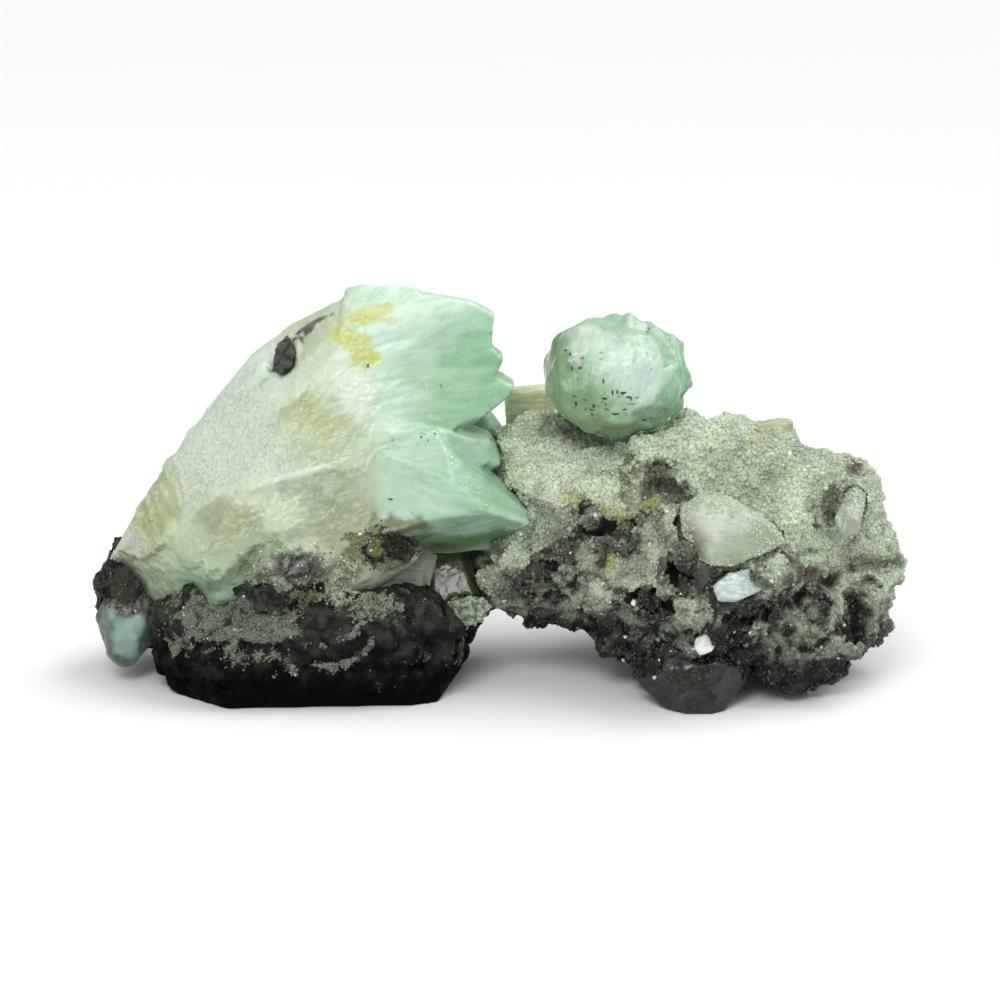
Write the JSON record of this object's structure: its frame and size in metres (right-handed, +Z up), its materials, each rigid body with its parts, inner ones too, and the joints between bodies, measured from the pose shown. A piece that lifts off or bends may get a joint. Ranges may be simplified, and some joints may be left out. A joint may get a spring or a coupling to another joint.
{
  "type": "apophyllite specimen",
  "caption": "Hand specimen of green apophyllite: a spray of blades and a round cluster of crystals standing on black basalt and grey drusy matrix.",
  "frame": {"origin": "middle of the footprint's bounding box, on the ground", "axes": "+X along the specimen from the spray's far end to the druse, +Y to the back, +Z up"},
  "size_m": [0.1104, 0.0422, 0.0521],
  "materials": {
    "basalt": "black, rough, with pale grey-green powder in its hollows",
    "druse": "fine sugary crystals, grey-green, dark in the hollows",
    "apophyllite_blades": "translucent pale green, glassy, with faint lines along the blades",
    "apophyllite_cobbles": "translucent green, wet gloss, small dark specks",
    "blue_green_apophyllite": "translucent blue-green, soft gloss",
    "green_apophyllite": "translucent green, soft gloss",
    "tan_stilbite": "tan, satin",
    "pearly_stilbite": "pearly, almost white",
    "silvery_stilbite": "silky, bright lines along it",
    "colourless_prism": "clear, glassy",
    "white_cleavage": "bright white cleavage face",
    "olive_stilbite": "olive yellow, satin",
    "dark_translucent_crystal": "dark, translucent, glassy",
    "brown_clear_prism": "clear with a brown-olive tint",
    "grey_stilbite": "grey, satin, fine lines",
    "pale_druse": "pale sugary crust",
    "olive_clay": "dark olive to black, rough with yellow grains"
  },
  "bodies": {
    "root": {"basalt_matrix": "basalt", "drusy_matrix": "druse", "apophyllite_spray": "apophyllite_blades", "apophyllite_ball": "apophyllite_cobbles", "left_end_crystal": "blue_green_apophyllite", "rear_crystal": "green_apophyllite", "tan_blade": "tan_stilbite", "pearly_blade": "pearly_stilbite", "silvery_blade": "silvery_stilbite", "right_prism": "colourless_prism", "white_chip": "white_cleavage", "top_blade": "olive_stilbite", "foot_crystal": "dark_translucent_crystal", "notch_prism": "brown_clear_prism", "notch_fan": "grey_stilbite", "notch_druse": "pale_druse", "olive_knot": "olive_clay", "basalt_scab": "basalt"}
  },
  "joints": []
}
